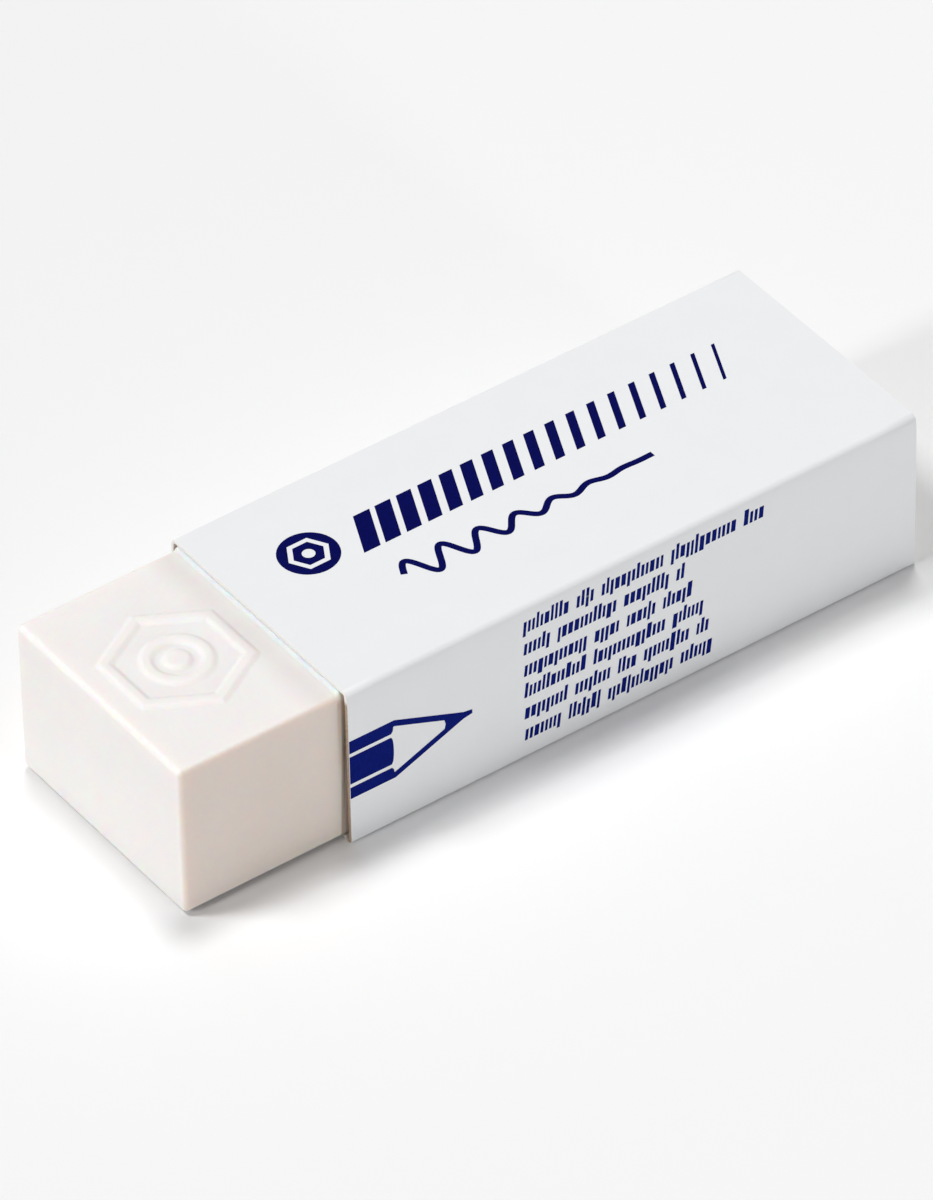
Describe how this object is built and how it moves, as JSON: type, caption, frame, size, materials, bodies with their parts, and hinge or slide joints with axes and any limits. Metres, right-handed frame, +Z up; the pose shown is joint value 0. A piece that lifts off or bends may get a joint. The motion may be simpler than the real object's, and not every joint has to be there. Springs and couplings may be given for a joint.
{
  "type": "rubber eraser",
  "caption": "White rubber eraser block with rounded edges and a raised hexagon mark on its bare end, in a folded white card sleeve printed in navy that slides along it.",
  "frame": {"origin": "on the surface it rests on, under the middle of the whole object's box", "axes": "+X along the block, from the bare end towards the sleeve's other end; +Y away from the side with the printed pencil point; +Z up"},
  "size_m": [0.065, 0.0218, 0.0142],
  "materials": {
    "soft_rubber": "matt, warm white soft vinyl, faintly translucent",
    "coated_card": "white clay-coated face with a satin varnish, off-white raw board inside and at the cut edges",
    "printing_ink": "flat navy printing ink on the card"
  },
  "bodies": {
    "eraser": {"eraser_block": "soft_rubber"},
    "sleeve": {"card_sleeve": "coated_card"}
  },
  "joints": [
    {"name": "sleeve_slide", "type": "slide", "parent": "eraser", "child": "sleeve", "axis": [1, 0, 0], "range_m": [-0.014, 0.052]}
  ]
}
